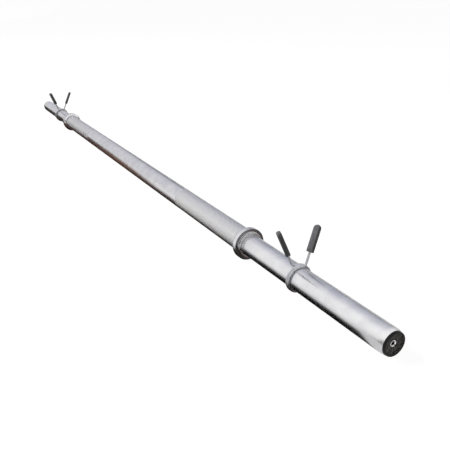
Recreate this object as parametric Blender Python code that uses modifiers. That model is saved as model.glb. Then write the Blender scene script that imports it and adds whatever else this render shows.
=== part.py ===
"""Thick-grip barbell with turning sleeves and two spring clips.

Metres, +Z up. The bar lies along X and stands on its two collars, with the
origin on the floor under its middle. Each end is the same assembly, turned
half a turn about Z: a spindle in the grip tube carries a sleeve on two
bushings, and a screw and a washer in the sleeve's mouth keep it on.
"""

import math

import bmesh
import bpy
from mathutils import Matrix, Vector

# Clearances
SEAT_GAP = 0.0003
RUNNING_GAP = 0.0005

# Whole bar
BAR_LENGTH = 2.440
LOADABLE_LENGTH = 0.4475

# Grip tube
GRIP_DIAMETER = 0.057
GRIP_WALL = 0.004
GRIP_CHAMFER = 0.0008

# Sleeve tube
SLEEVE_DIAMETER = 0.050
SLEEVE_WALL = 0.0047
MOUTH_DEPTH = 0.0105
MOUTH_WALL = 0.0017
MOUTH_TAPER_WIDTH = 0.0010
MOUTH_TAPER_LENGTH = 0.0035

# Collar that stops the plates
COLLAR_DIAMETER = 0.076
COLLAR_RIM_WIDTH = 0.012
COLLAR_CHAMFER = 0.0012
HUB_DIAMETER = 0.060
HUB_HEIGHT = 0.005
HUB_CHAMFER = 0.0008
BOSS_ROOT_DIAMETER = 0.072
BOSS_FACE_DIAMETER = 0.062
BOSS_LENGTH = 0.006
SLEEVE_INSET = 0.008

# Spindle, washers and bushings
SPINDLE_DIAMETER = 0.030
SPINDLE_PLUG_LENGTH = 0.060
SPINDLE_CHAMFER = 0.0015
THRUST_WASHER_THICKNESS = 0.003
THRUST_WASHER_DIAMETER = 0.049
BUSHING_LENGTH = 0.040
BUSHING_CHAMFER = 0.001
RETAINER_DIAMETER = 0.045
RETAINER_THICKNESS = 0.004
RETAINER_CHAMFER = 0.0006

# End screw with its spring washer
SCREW_DIAMETER = 0.008
SCREW_LENGTH = 0.025
SCREW_HOLE_DIAMETER = 0.0086
SCREW_HOLE_DEPTH = 0.022
HEAD_DIAMETER = 0.014
HEAD_HEIGHT = 0.0044
HEAD_EDGE = 0.0006
HEAD_FLAT_DIAMETER = 0.0075
SCREW_TIP_CHAMFER = 0.0006
HEX_WIDTH = 0.006
HEX_DEPTH = 0.003
SPRING_WASHER_DIAMETER = 0.0127
SPRING_WASHER_THICKNESS = 0.002
SPRING_WASHER_SPLIT = 0.0012

# End cap
CAP_STAND_OUT = 0.0045
CAP_HOLE_DIAMETER = 0.0154
CAP_EDGE_RADIUS = 0.0012
CAP_BEAD_WIDTH = 0.0016
CAP_DISH_DEPTH = 0.003

# Spring clip
WIRE_DIAMETER = 0.005
CLIP_PLACE = {"right": 0.956, "left": 0.944}
WHOLE_TURNS = 2
HANDLE_SPREAD = math.radians(45.8)
HANDLE_LEAN = math.radians(-0.2)
HANDLE_TILT = math.radians(5.8)
HANDLE_REACH = 0.115
BEND_RADIUS = 0.007

# Plastic grips on the clip's handles
CLIP_GRIP_LENGTH = 0.057
CLIP_GRIP_WIDTH = 0.0148
CLIP_GRIP_THICKNESS = 0.010
CLIP_GRIP_ROUNDING = 0.003
CLIP_GRIP_TIP_WALL = 0.006
CLIP_GRIP_TURN = math.radians(20.0)

# Facets round a full turn
OUTER_FACETS = 48
INNER_FACETS = 32
SCREW_FACETS = 24
COIL_FACETS = 36
BEND_STEPS = 6
DOME_STEPS = 3

# Points closer than this are one point
WELD_DISTANCE = 0.000005

# Radii that follow from the diameters and walls
GRIP_BORE = GRIP_DIAMETER / 2 - GRIP_WALL
SLEEVE_BORE = SLEEVE_DIAMETER / 2 - SLEEVE_WALL
MOUTH_BORE = SLEEVE_DIAMETER / 2 - MOUTH_WALL
PLUG_RADIUS = GRIP_BORE - SEAT_GAP
COLLAR_BORE = SLEEVE_DIAMETER / 2 + SEAT_GAP
BUSHING_RADIUS = SLEEVE_BORE - SEAT_GAP
BUSHING_BORE = SPINDLE_DIAMETER / 2 + SEAT_GAP
CAP_RADIUS = MOUTH_BORE - SEAT_GAP
COIL_RADIUS = SLEEVE_DIAMETER / 2 + SEAT_GAP + WIRE_DIAMETER / 2
COIL_PITCH = WIRE_DIAMETER + SEAT_GAP

# Stations along one half, measured out from the bar's middle
CAP_FACE = BAR_LENGTH / 2
SLEEVE_END = CAP_FACE - CAP_STAND_OUT
MOUTH_FLOOR = SLEEVE_END - MOUTH_DEPTH
RIM_FACE = SLEEVE_END - LOADABLE_LENGTH
HUB_FACE = RIM_FACE + HUB_HEIGHT
RIM_BACK = RIM_FACE - COLLAR_RIM_WIDTH
BOSS_FACE = RIM_BACK - BOSS_LENGTH
GRIP_END = BOSS_FACE - RUNNING_GAP
SLEEVE_START = BOSS_FACE + SLEEVE_INSET
THRUST_FACE = SLEEVE_START - SEAT_GAP
SHOULDER = THRUST_FACE - THRUST_WASHER_THICKNESS - SEAT_GAP
RETAINER_BACK = MOUTH_FLOOR + SEAT_GAP
RETAINER_FACE = RETAINER_BACK + RETAINER_THICKNESS
SPRING_WASHER_BACK = RETAINER_FACE + SEAT_GAP
HEAD_SEAT = SPRING_WASHER_BACK + SPRING_WASHER_THICKNESS + SEAT_GAP
HEAD_FACE = HEAD_SEAT + HEAD_HEIGHT
CAP_BACK = RETAINER_FACE + SEAT_GAP

# The bottom facet of each collar lies flat on the floor
AXIS_HEIGHT = COLLAR_DIAMETER / 2 * math.cos(math.pi / OUTER_FACETS)

SIDES = {"right": 1, "left": -1}


def clear_scene():
    """Removes what the new scene starts with."""
    for item in list(bpy.data.objects):
        bpy.data.objects.remove(item, do_unlink=True)


def new_collection(name):
    collection = bpy.data.collections.new(name)
    bpy.context.scene.collection.children.link(collection)
    return collection


def new_material(name, colour, metallic, roughness):
    material = bpy.data.materials.new(name)
    material.use_nodes = True
    shader = material.node_tree.nodes["Principled BSDF"]
    shader.inputs["Base Color"].default_value = (*colour, 1.0)
    shader.inputs["Metallic"].default_value = metallic
    shader.inputs["Roughness"].default_value = roughness
    return material


clear_scene()
BARBELL = new_collection("barbell")
CUTTERS = new_collection("cutters")
CHROME = new_material("chromed_steel", (0.78, 0.79, 0.82), 1.0, 0.22)
STEEL = new_material("bare_steel", (0.56, 0.56, 0.57), 1.0, 0.38)
SPRING_STEEL = new_material("plated_spring_wire", (0.72, 0.73, 0.75), 1.0, 0.25)
ZINC = new_material("zinc_plated_steel", (0.70, 0.71, 0.72), 1.0, 0.32)
BRONZE = new_material("sintered_bronze", (0.62, 0.44, 0.24), 1.0, 0.45)
BLACK_PLASTIC = new_material("black_plastic", (0.018, 0.018, 0.019), 0.0, 0.45)
GREY_VINYL = new_material("dark_grey_vinyl", (0.045, 0.045, 0.048), 0.0, 0.55)


def side_frame(side):
    """Local axes of one end: X is the way out of the bar's end, Z is up."""
    turn = Matrix.Rotation(0.0 if side > 0 else math.pi, 4, "Z")
    return Matrix.Translation((0.0, 0.0, AXIS_HEIGHT)) @ turn


def end_empty(name, side, station=0.0):
    """Empty on the bar's axis that carries the parts of one end."""
    empty = bpy.data.objects.new(name, None)
    empty.empty_display_size = 0.05
    empty.matrix_world = side_frame(side) @ Matrix.Translation((station, 0.0, 0.0))
    BARBELL.objects.link(empty)
    return empty


def add_object(name, mesh, material, parent, local=Matrix.Identity(4)):
    """Links a part under its empty, smooth shaded with crisp edges."""
    part = bpy.data.objects.new(name, mesh)
    mesh.materials.clear()
    mesh.materials.append(material)
    mesh.shade_smooth()
    mesh.set_sharp_from_angle(angle=math.radians(35.0))
    BARBELL.objects.link(part)
    part.parent = parent
    part.matrix_local = local
    return part


def evaluated_mesh(sketch):
    """Mesh of a sketch with its modifiers or its bevel applied; the sketch is removed."""
    bpy.context.view_layer.update()
    graph = bpy.context.evaluated_depsgraph_get()
    mesh = bpy.data.meshes.new_from_object(sketch.evaluated_get(graph))
    bpy.data.objects.remove(sketch)
    shape = bmesh.new()
    shape.from_mesh(mesh)
    bmesh.ops.remove_doubles(shape, verts=shape.verts, dist=WELD_DISTANCE)
    shape.to_mesh(mesh)
    shape.free()
    return mesh


def turned(name, profile, material, parent, facets):
    """Part turned from a closed profile of (radius, station) points.

    The points run down the outer side, from the outboard end inwards, and
    back along the bore or the axis. Stations are measured along the
    parent's X. Half a facet of offset puts a flat, and not an edge, at the
    bottom.
    """
    half_step = math.pi / facets
    outline = bpy.data.meshes.new(name + "_profile")
    points = [(r * math.cos(half_step), r * math.sin(half_step), s) for r, s in profile]
    edges = [(i, i + 1) for i in range(len(points) - 1)]
    if profile[0][0] > 0.0:
        edges.append((len(points) - 1, 0))
    outline.from_pydata(points, edges, [])
    sketch = bpy.data.objects.new(name + "_profile", outline)
    BARBELL.objects.link(sketch)
    screw = sketch.modifiers.new("turn", "SCREW")
    screw.steps = facets
    screw.render_steps = facets
    screw.use_merge_vertices = True
    screw.merge_threshold = WELD_DISTANCE
    mesh = evaluated_mesh(sketch)
    bpy.data.meshes.remove(outline)
    along_x = Matrix.Rotation(math.radians(90.0), 4, "Y")
    return add_object(name, mesh, material, parent, along_x)


def ring_profile(outer, inner, outboard, inboard, chamfer):
    """Plain ring with its two outer corners broken."""
    return [
        (outer - chamfer, outboard),
        (outer, outboard - chamfer),
        (outer, inboard + chamfer),
        (outer - chamfer, inboard),
        (inner, inboard),
        (inner, outboard),
    ]


def add_cutter(name, mesh, parent, local):
    cutter = bpy.data.objects.new(name, mesh)
    cutter.hide_render = True
    cutter.display_type = "WIRE"
    CUTTERS.objects.link(cutter)
    cutter.parent = parent
    cutter.matrix_local = local
    return cutter


def cylinder_mesh(name, radius, length, facets):
    """Cylinder about Z with its base at the origin."""
    mesh = bpy.data.meshes.new(name)
    shape = bmesh.new()
    bmesh.ops.create_cone(
        shape, cap_ends=True, segments=facets, radius1=radius, radius2=radius, depth=length
    )
    bmesh.ops.translate(shape, verts=shape.verts, vec=(0.0, 0.0, length / 2))
    shape.to_mesh(mesh)
    shape.free()
    return mesh


def cut(part, cutter):
    boolean = part.modifiers.new("cut", "BOOLEAN")
    boolean.operation = "DIFFERENCE"
    boolean.solver = "EXACT"
    boolean.object = cutter


def wire(name, points, diameter, material, parent):
    """Round wire along a list of points."""
    curve = bpy.data.curves.new(name, "CURVE")
    curve.dimensions = "3D"
    curve.bevel_depth = diameter / 2
    curve.bevel_resolution = 2
    curve.use_fill_caps = True
    spline = curve.splines.new("POLY")
    spline.points.add(len(points) - 1)
    for target, point in zip(spline.points, points):
        target.co = (*point, 1.0)
    sketch = bpy.data.objects.new(name + "_path", curve)
    BARBELL.objects.link(sketch)
    mesh = evaluated_mesh(sketch)
    bpy.data.curves.remove(curve)
    return add_object(name, mesh, material, parent)


# Grip tube: one steel tube that both spindles plug into

def build_grip_tube():
    middle = end_empty("bar_axis", 1)
    profile = ring_profile(GRIP_DIAMETER / 2, GRIP_BORE, GRIP_END, -GRIP_END, GRIP_CHAMFER)
    turned("grip_tube", profile, CHROME, middle, OUTER_FACETS)


# Fixed end: the spindle, its thrust washer, and the retainer and screw at its tip

def build_spindle(side_name, fixed):
    journal = SPINDLE_DIAMETER / 2
    hole = SCREW_HOLE_DIAMETER / 2
    hole_floor = MOUTH_FLOOR - SCREW_HOLE_DEPTH
    plug_end = GRIP_END - SPINDLE_PLUG_LENGTH
    profile = [
        (journal - SPINDLE_CHAMFER, MOUTH_FLOOR),
        (journal, MOUTH_FLOOR - SPINDLE_CHAMFER),
        (journal, SHOULDER),
        (PLUG_RADIUS, SHOULDER),
        (PLUG_RADIUS, plug_end + SPINDLE_CHAMFER),
        (PLUG_RADIUS - SPINDLE_CHAMFER, plug_end),
        (0.0, plug_end),
        (0.0, hole_floor - hole / 2),
        (hole, hole_floor),
        (hole, MOUTH_FLOOR),
    ]
    turned("spindle_" + side_name, profile, STEEL, fixed, INNER_FACETS)


def build_washers(side_name, fixed):
    thrust = ring_profile(
        THRUST_WASHER_DIAMETER / 2,
        BUSHING_BORE,
        THRUST_FACE,
        THRUST_FACE - THRUST_WASHER_THICKNESS,
        RETAINER_CHAMFER,
    )
    turned("thrust_washer_" + side_name, thrust, BRONZE, fixed, INNER_FACETS)
    retainer = ring_profile(
        RETAINER_DIAMETER / 2,
        SCREW_HOLE_DIAMETER / 2,
        RETAINER_FACE,
        RETAINER_BACK,
        RETAINER_CHAMFER,
    )
    turned("retaining_washer_" + side_name, retainer, ZINC, fixed, INNER_FACETS)


def build_spring_washer(side_name, fixed):
    """Split ring of square wire that keeps the screw from working loose."""
    outer = SPRING_WASHER_DIAMETER / 2
    inner = SCREW_HOLE_DIAMETER / 2
    face = SPRING_WASHER_BACK + SPRING_WASHER_THICKNESS
    profile = [
        (outer, face),
        (outer, SPRING_WASHER_BACK),
        (inner, SPRING_WASHER_BACK),
        (inner, face),
    ]
    part = turned("spring_washer_" + side_name, profile, ZINC, fixed, SCREW_FACETS)
    reach = SPRING_WASHER_DIAMETER
    slot = bpy.data.meshes.new("spring_washer_slot")
    shape = bmesh.new()
    bmesh.ops.create_cube(shape, size=1.0)
    size = (2 * SPRING_WASHER_THICKNESS, SPRING_WASHER_SPLIT, reach)
    bmesh.ops.scale(shape, vec=size, verts=shape.verts)
    shape.to_mesh(slot)
    shape.free()
    centre = SPRING_WASHER_BACK + SPRING_WASHER_THICKNESS / 2
    place = Matrix.Translation((centre, 0.0, reach / 2))
    cut(part, add_cutter("spring_washer_slot_" + side_name, slot, fixed, place))


def build_end_screw(side_name, fixed):
    head = HEAD_DIAMETER / 2
    shank = SCREW_DIAMETER / 2
    tip = HEAD_SEAT - SCREW_LENGTH
    flat = HEAD_FLAT_DIAMETER / 2
    dome_height = HEAD_HEIGHT - HEAD_EDGE
    profile = [(0.0, HEAD_FACE)]
    for step in range(DOME_STEPS + 1):
        angle = math.radians(90.0) * step / DOME_STEPS
        radius = flat + (head - flat) * math.sin(angle)
        profile.append((radius, HEAD_FACE - dome_height * (1.0 - math.cos(angle))))
    profile += [
        (head, HEAD_SEAT),
        (shank, HEAD_SEAT),
        (shank, tip + SCREW_TIP_CHAMFER),
        (shank - SCREW_TIP_CHAMFER, tip),
        (0.0, tip),
    ]
    part = turned("end_screw_" + side_name, profile, ZINC, fixed, SCREW_FACETS)
    corner = HEX_WIDTH / 2 / math.cos(math.pi / 6)
    socket = cylinder_mesh("hex_socket", corner, 2 * HEX_DEPTH, 6)
    place = Matrix.Translation((HEAD_FACE - HEX_DEPTH, 0.0, 0.0))
    place = place @ Matrix.Rotation(math.radians(90.0), 4, "Y")
    cut(part, add_cutter("hex_socket_" + side_name, socket, fixed, place))


# Turning end: sleeve tube, collar, two bushings and the end cap

def build_sleeve(side_name, turning):
    outer = SLEEVE_DIAMETER / 2
    profile = [
        (outer - MOUTH_TAPER_WIDTH, SLEEVE_END),
        (outer, SLEEVE_END - MOUTH_TAPER_LENGTH),
        (outer, SLEEVE_START),
        (SLEEVE_BORE, SLEEVE_START),
        (SLEEVE_BORE, MOUTH_FLOOR),
        (MOUTH_BORE, MOUTH_FLOOR),
        (MOUTH_BORE, SLEEVE_END),
    ]
    turned("sleeve_tube_" + side_name, profile, CHROME, turning, OUTER_FACETS)


def build_collar(side_name, turning):
    """Ring welded on the sleeve: a hub step outboard, a cone inboard."""
    rim = COLLAR_DIAMETER / 2
    hub = HUB_DIAMETER / 2
    profile = [
        (hub - HUB_CHAMFER, HUB_FACE),
        (hub, HUB_FACE - HUB_CHAMFER),
        (hub, RIM_FACE),
        (rim - COLLAR_CHAMFER, RIM_FACE),
        (rim, RIM_FACE - COLLAR_CHAMFER),
        (rim, RIM_BACK + COLLAR_CHAMFER),
        (rim - COLLAR_CHAMFER, RIM_BACK),
        (BOSS_ROOT_DIAMETER / 2, RIM_BACK),
        (BOSS_FACE_DIAMETER / 2, BOSS_FACE),
        (COLLAR_BORE, BOSS_FACE),
        (COLLAR_BORE, HUB_FACE),
    ]
    turned("collar_" + side_name, profile, CHROME, turning, OUTER_FACETS)


def build_bushings(side_name, turning):
    places = {"inner": SLEEVE_START + BUSHING_LENGTH, "outer": MOUTH_FLOOR}
    for place, outboard in places.items():
        profile = ring_profile(
            BUSHING_RADIUS, BUSHING_BORE, outboard, outboard - BUSHING_LENGTH, BUSHING_CHAMFER
        )
        turned(place + "_bushing_" + side_name, profile, BRONZE, turning, INNER_FACETS)


def build_end_cap(side_name, turning):
    """Pressed into the sleeve's mouth, with a bead round its dished face."""
    hole = CAP_HOLE_DIAMETER / 2
    dish_floor = CAP_FACE - CAP_DISH_DEPTH
    bead_outer = CAP_RADIUS - CAP_EDGE_RADIUS
    bead_inner = bead_outer - CAP_BEAD_WIDTH
    profile = [
        (hole, dish_floor),
        (bead_inner - CAP_DISH_DEPTH, dish_floor),
        (bead_inner, CAP_FACE),
    ]
    for step in range(DOME_STEPS + 1):
        angle = math.radians(90.0) * step / DOME_STEPS
        radius = bead_outer + CAP_EDGE_RADIUS * math.sin(angle)
        profile.append((radius, CAP_FACE - CAP_EDGE_RADIUS * (1.0 - math.cos(angle))))
    profile.append((CAP_RADIUS, CAP_BACK))
    profile.append((hole, CAP_BACK))
    turned("end_cap_" + side_name, profile, BLACK_PLASTIC, turning, OUTER_FACETS)


# Spring clip: one wire wound round the sleeve, with two handles crossed at the top

def round_axis(radius, angle, station=0.0):
    """Point at an angle from straight up towards the clip's +Y side."""
    return Vector((station, radius * math.sin(angle), radius * math.cos(angle)))


def handle_angles():
    """Angles of the outboard and the inboard handle."""
    return HANDLE_LEAN + HANDLE_SPREAD / 2, HANDLE_LEAN - HANDLE_SPREAD / 2


def bend_angle():
    """Turn about the axis that the bend needs to leave the coil and point straight out."""
    return math.asin(BEND_RADIUS / (COIL_RADIUS + BEND_RADIUS))


def coil_points():
    """Centre line of the turns, from the inboard handle's bend to the outboard one's."""
    outer_angle, inner_angle = handle_angles()
    start = inner_angle + bend_angle()
    stop = outer_angle - bend_angle() + 2.0 * math.pi * WHOLE_TURNS
    steps = round(COIL_FACETS * (stop - start) / (2.0 * math.pi))
    middle = (start + stop) / 2
    points = []
    for step in range(steps + 1):
        angle = start + (stop - start) * step / steps
        station = COIL_PITCH * (angle - middle) / (2.0 * math.pi)
        points.append(round_axis(COIL_RADIUS, angle, station))
    return points


def coil_half_width():
    """Station of the wire's centre where a handle leaves the coil."""
    return coil_points()[-1].x


def handle_points(handle, reach):
    """Centre line of one handle, from its end of the coil out to the given radius.

    handle is 1 for the outboard handle and -1 for the inboard one. The
    bend rolls off the coil and ends pointing straight out from the axis,
    while the whole handle tilts along the bar, towards the bar's middle.
    """
    outer_angle, inner_angle = handle_angles()
    leg_angle = outer_angle if handle > 0 else inner_angle
    root_angle = leg_angle - handle * bend_angle()
    gap_angle = SEAT_GAP / BEND_RADIUS
    last = math.radians(90.0) - bend_angle()
    centre_height = COIL_RADIUS + BEND_RADIUS
    points = []
    for step in range(BEND_STEPS + 1):
        angle = gap_angle + (last - gap_angle) * step / BEND_STEPS
        across = handle * BEND_RADIUS * math.sin(angle)
        height = centre_height - BEND_RADIUS * math.cos(angle)
        radius = math.hypot(across, height)
        points.append(tilted(handle, radius, root_angle + math.atan2(across, height)))
    points.append(tilted(handle, reach, leg_angle))
    return points


def tilted(handle, radius, angle):
    """Point of a handle, moved along the bar in step with its radius."""
    station = handle * coil_half_width() - (radius - COIL_RADIUS) * math.tan(HANDLE_TILT)
    return round_axis(radius, angle, station)


def build_coil(side_name, clip):
    wire("clip_coil_" + side_name, coil_points(), WIRE_DIAMETER, SPRING_STEEL, clip)


def build_handle(side_name, place, handle, lever):
    """Straight wire with its bend, which ends inside the grip."""
    wire_end = HANDLE_REACH - CLIP_GRIP_TIP_WALL
    points = handle_points(handle, wire_end)
    name = "clip_" + place + "_handle_" + side_name
    wire(name, points, WIRE_DIAMETER, SPRING_STEEL, lever)


def clip_grip_frame(handle):
    """Axes of a grip: Y runs up the handle from the grip's base, X across its wide side."""
    outer_angle, inner_angle = handle_angles()
    leg_angle = outer_angle if handle > 0 else inner_angle
    slant = math.cos(HANDLE_TILT)
    base = tilted(handle, HANDLE_REACH - CLIP_GRIP_LENGTH * slant, leg_angle)
    tip = tilted(handle, HANDLE_REACH, leg_angle)
    along = (tip - base).normalized()
    tangent = Vector((0.0, math.cos(leg_angle), -math.sin(leg_angle)))
    turn = handle * CLIP_GRIP_TURN
    wide = math.cos(turn) * Vector((1.0, 0.0, 0.0)) + math.sin(turn) * tangent
    wide = (wide - wide.dot(along) * along).normalized()
    thick = wide.cross(along)
    axes = Matrix((wide, along, thick)).transposed().to_4x4()
    return Matrix.Translation(base) @ axes


def clip_grip_mesh(name):
    """Flat tongue with a round tip, a square-cut base and rounded edges."""
    half_width = CLIP_GRIP_WIDTH / 2 - CLIP_GRIP_ROUNDING
    straight = CLIP_GRIP_LENGTH - CLIP_GRIP_WIDTH / 2
    outline = [(-half_width, CLIP_GRIP_ROUNDING), (half_width, CLIP_GRIP_ROUNDING)]
    for step in range(BEND_STEPS + 1):
        angle = math.pi * step / BEND_STEPS
        across = half_width * math.cos(angle)
        outline.append((across, straight + half_width * math.sin(angle)))
    curve = bpy.data.curves.new(name, "CURVE")
    curve.dimensions = "2D"
    curve.fill_mode = "BOTH"
    curve.extrude = CLIP_GRIP_THICKNESS / 2 - CLIP_GRIP_ROUNDING
    curve.bevel_depth = CLIP_GRIP_ROUNDING
    curve.bevel_resolution = 1
    spline = curve.splines.new("POLY")
    spline.points.add(len(outline) - 1)
    for target, (across, along) in zip(spline.points, outline):
        target.co = (across, along, 0.0, 1.0)
    spline.use_cyclic_u = True
    sketch = bpy.data.objects.new(name + "_outline", curve)
    BARBELL.objects.link(sketch)
    mesh = evaluated_mesh(sketch)
    bpy.data.curves.remove(curve)
    return mesh


def build_clip_grip(side_name, place, handle, lever):
    name = "clip_" + place + "_grip_" + side_name
    frame = clip_grip_frame(handle)
    part = add_object(name, clip_grip_mesh(name), GREY_VINYL, lever, frame)
    bore = WIRE_DIAMETER / 2 + SEAT_GAP
    depth = CLIP_GRIP_LENGTH - CLIP_GRIP_TIP_WALL + SEAT_GAP
    mouth = 0.002
    cutter = cylinder_mesh(name + "_bore", bore, depth + mouth, SCREW_FACETS // 2)
    up_handle = Matrix.Rotation(math.radians(-90.0), 4, "X")
    place_bore = frame @ Matrix.Translation((0.0, -mouth, 0.0)) @ up_handle
    cut(part, add_cutter(name + "_bore", cutter, lever, place_bore))


def build_clip(side_name, side):
    station = CLIP_PLACE[side_name]
    clip = end_empty("clip_axis_" + side_name, side, station)
    build_coil(side_name, clip)
    for place, handle in (("outer", 1), ("inner", -1)):
        lever = end_empty("clip_" + place + "_lever_axis_" + side_name, side, station)
        build_handle(side_name, place, handle, lever)
        build_clip_grip(side_name, place, handle, lever)


# Assembly

def build_end(side_name, side):
    fixed = end_empty("spindle_axis_" + side_name, side)
    build_spindle(side_name, fixed)
    build_washers(side_name, fixed)
    build_spring_washer(side_name, fixed)
    build_end_screw(side_name, fixed)
    turning = end_empty("sleeve_axis_" + side_name, side)
    build_sleeve(side_name, turning)
    build_collar(side_name, turning)
    build_bushings(side_name, turning)
    build_end_cap(side_name, turning)
    build_clip(side_name, side)


build_grip_tube()
for end_name, end_side in SIDES.items():
    build_end(end_name, end_side)
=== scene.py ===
"""Looks of a thick-grip barbell with turning sleeves and two spring clips."""

import math

import bmesh
import bpy
from mathutils import Matrix, Vector


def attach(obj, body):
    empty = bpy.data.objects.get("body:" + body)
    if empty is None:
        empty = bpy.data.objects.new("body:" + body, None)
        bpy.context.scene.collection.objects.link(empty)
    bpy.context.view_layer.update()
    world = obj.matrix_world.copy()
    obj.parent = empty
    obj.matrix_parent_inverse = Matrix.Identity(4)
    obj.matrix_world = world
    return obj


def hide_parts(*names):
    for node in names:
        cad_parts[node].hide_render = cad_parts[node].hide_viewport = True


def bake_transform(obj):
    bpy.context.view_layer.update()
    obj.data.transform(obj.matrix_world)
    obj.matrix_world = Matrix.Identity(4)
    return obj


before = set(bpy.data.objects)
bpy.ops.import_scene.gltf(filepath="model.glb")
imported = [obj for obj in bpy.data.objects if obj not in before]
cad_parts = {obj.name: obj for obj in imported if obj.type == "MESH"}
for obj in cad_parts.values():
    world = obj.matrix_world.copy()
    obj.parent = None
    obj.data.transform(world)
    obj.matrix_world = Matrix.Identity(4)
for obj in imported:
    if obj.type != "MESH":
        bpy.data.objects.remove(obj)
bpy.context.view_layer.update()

# Grip tube. One thick steel tube, hard chromed. Two zones are rolled with a diamond knurl
# that bites into the palms, and the middle between them is left smooth. Both spindles are
# plugged and welded into its ends.

AXIS_HEIGHT = 0.03791864
GRIP_RADIUS = 0.0285
GRIP_BORE = 0.0245
GRIP_END = 0.7495
GRIP_EDGE = 0.0008
KNURL_OUTER_END = 0.743
KNURL_INNER_END = 0.419
KNURL_DEPTH = 0.0004
KNURL_STEP = 0.0004
DIAMONDS_AROUND = 48
DIAMOND_LENGTH = 0.0062
FACETS_AROUND = 2 * DIAMONDS_AROUND
SUPPORT = 0.00015
LONGEST_EASE = 0.4
LONGEST_SUPPORT = 0.08
WELD_DISTANCE = 0.000002

SIDES = {"right": 1, "left": -1}


def srgb(code):
    """Colour written as six hex digits, turned to linear light."""
    channels = [int(code[i:i + 2], 16) / 255 for i in (0, 2, 4)]
    linear = [c / 12.92 if c <= 0.04045 else ((c + 0.055) / 1.055) ** 2.4 for c in channels]
    return (*linear, 1.0)


def per_metre(millimetres):
    """Texture scale at which a pattern's grain has this real size."""
    return 1000.0 / millimetres


def add(tree, kind, inputs=None, stops=None, **settings):
    """Adds a node with its settings and links.

    Inputs are values, sockets, or nodes, of which the first output in use is linked.
    A colour ramp also takes its stops, as colours by position.
    """
    made = tree.nodes.new(kind)
    for name, value in settings.items():
        setattr(made, name, value)
    for socket, value in (inputs or {}).items():
        if isinstance(value, bpy.types.Node):
            value = next(output for output in value.outputs if output.enabled)
        if isinstance(value, bpy.types.NodeSocket):
            tree.links.new(value, made.inputs[socket])
        else:
            made.inputs[socket].default_value = value
    if stops:
        elements = made.color_ramp.elements
        while len(elements) < len(stops):
            elements.new(1.0)
        for element, (position, colour) in zip(elements, stops.items()):
            element.position = position
            element.color = srgb(colour)
    return made


def new_material(name):
    """Empty node material and its tree."""
    material = bpy.data.materials.new(name)
    material.use_nodes = True
    material.node_tree.nodes.clear()
    return material, material.node_tree


def end_material(tree, finish):
    """Ends a material in its shader, with the shader's inputs."""
    shader = add(tree, "ShaderNodeBsdfPrincipled", finish)
    add(tree, "ShaderNodeOutputMaterial", {"Surface": shader})


def clouded_metal(name, patch, detail, dark, pale, smoothest, roughest):
    """Bright metal whose colour and polish drift together in patches of one size."""
    material, tree = new_material(name)
    place = add(tree, "ShaderNodeTexCoord").outputs["Object"]
    clouds = add(
        tree, "ShaderNodeTexNoise", {"Vector": place, "Scale": per_metre(patch), "Detail": detail}
    )
    tint = add(tree, "ShaderNodeValToRGB", {"Fac": clouds}, stops={0.35: dark, 0.65: pale})
    # Inputs of a map range: 0 the value, 1 and 2 its range, 3 and 4 the range of the result
    rough = add(tree, "ShaderNodeMapRange", {0: clouds, 1: 0.3, 2: 0.7, 3: smoothest, 4: roughest})
    end_material(tree, {"Base Color": tint, "Roughness": rough, "Metallic": 1.0})
    return material


def ground_chrome(name, smoothest, roughest):
    """Hard chrome on ground steel: a soft mirror, clouded by grinding and handling."""
    # Handling clouds the polish in patches of about 30 mm
    material = clouded_metal(name, 29.4, 5.0, "E4E4E7", "F2F2F3", smoothest, roughest)
    tree = material.node_tree
    place = tree.nodes["Texture Coordinate"].outputs["Object"]
    # Grinding marks run round the bar every 0.8 mm or so
    across_marks = (per_metre(0.8), per_metre(25.0), per_metre(25.0))
    stretched = add(tree, "ShaderNodeMapping", {"Vector": place, "Scale": across_marks})
    marks = add(tree, "ShaderNodeTexNoise", {"Vector": stretched, "Scale": 1.0, "Detail": 3.0})
    bump = add(tree, "ShaderNodeBump", {"Height": marks, "Strength": 0.02, "Distance": 0.0002})
    tree.links.new(bump.outputs["Normal"], tree.nodes["Principled BSDF"].inputs["Normal"])
    return material


def knurled_chrome():
    """Chrome over a rolled knurl: satin crests, and grooves tinted darker than the crests."""
    material, tree = new_material("hard_chrome_knurled")
    place = add(tree, "ShaderNodeTexCoord").outputs["Object"]
    crest = add(tree, "ShaderNodeAttribute", attribute_name="crest").outputs["Fac"]
    # Dust lies in specks of about 1 mm
    grain = add(
        tree, "ShaderNodeTexNoise", {"Vector": place, "Scale": per_metre(1.11), "Detail": 2.0}
    )
    # The grooves are tinted darker than the crests
    crest_and_specks = add(tree, "ShaderNodeMath", {0: grain, 1: 0.25, 2: crest}, operation="MULTIPLY_ADD")
    tint = add(
        tree,
        "ShaderNodeValToRGB",
        {"Fac": crest_and_specks},
        stops={0.1: "A8A8AB", 0.5: "F4F4F4", 1.0: "FFFFFF"},
    )
    end_material(tree, {"Base Color": tint, "Metallic": 1.0, "Roughness": 0.30})
    return material


def round_axis(radius, angle, station=0.0):
    """Point at an angle round the bar's axis, from straight up towards +Y."""
    return Vector((station, radius * math.sin(angle), radius * math.cos(angle)))


def ring(radius, station, count=FACETS_AROUND):
    """Points round the bar's axis. A ring of no radius is a single point."""
    if radius == 0.0:
        return [Vector((station, 0.0, 0.0))]
    return [round_axis(radius, 2.0 * math.pi * i / count, station) for i in range(count)]


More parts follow.
